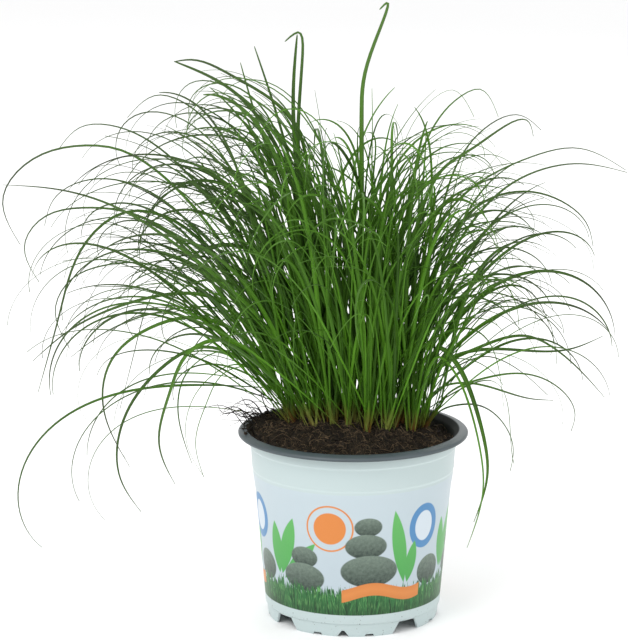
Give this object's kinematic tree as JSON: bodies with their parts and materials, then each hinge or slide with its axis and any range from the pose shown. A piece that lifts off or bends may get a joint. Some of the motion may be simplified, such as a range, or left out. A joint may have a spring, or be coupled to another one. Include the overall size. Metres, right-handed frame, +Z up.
{
  "type": "potted umbrella sedge",
  "caption": "Dense arching tuft of narrow keeled sedge leaves in compost, in a round tapered nursery pot with a wide lip and a notched foot.",
  "frame": {"origin": "middle of the whole plant's bounding box seen from above, on the plane that the pot stands on; the pot's axis stands 21.5 mm to +X of it, because the tuft reaches further to -X", "axes": "+Z up along the pot's axis, -Y towards the front of the picture, +X to the right seen from the front"},
  "size_m": [0.3261, 0.2085, 0.317],
  "materials": {
    "pot_plastic": "satin",
    "compost": "matte",
    "leaf": "satin"
  },
  "bodies": {
    "root": {"pot": "pot_plastic", "soil": "compost", "shoot_01": "leaf", "shoot_02": "leaf", "shoot_03": "leaf", "shoot_04": "leaf", "shoot_05": "leaf", "shoot_06": "leaf", "shoot_07": "leaf", "shoot_08": "leaf", "shoot_09": "leaf", "shoot_10": "leaf", "shoot_11": "leaf", "shoot_12": "leaf", "shoot_13": "leaf", "shoot_14": "leaf", "shoot_15": "leaf", "shoot_16": "leaf", "shoot_17": "leaf", "shoot_18": "leaf", "shoot_19": "leaf", "shoot_20": "leaf", "shoot_21": "leaf", "shoot_22": "leaf", "shoot_23": "leaf", "shoot_24": "leaf", "shoot_25": "leaf", "shoot_26": "leaf", "shoot_27": "leaf", "shoot_28": "leaf", "shoot_29": "leaf", "shoot_30": "leaf", "shoot_31": "leaf", "shoot_32": "leaf", "shoot_33": "leaf", "shoot_34": "leaf", "shoot_35": "leaf", "shoot_36": "leaf", "shoot_37": "leaf", "shoot_38": "leaf", "shoot_39": "leaf", "shoot_40": "leaf", "shoot_41": "leaf", "shoot_42": "leaf", "shoot_43": "leaf", "shoot_44": "leaf"}
  },
  "joints": []
}
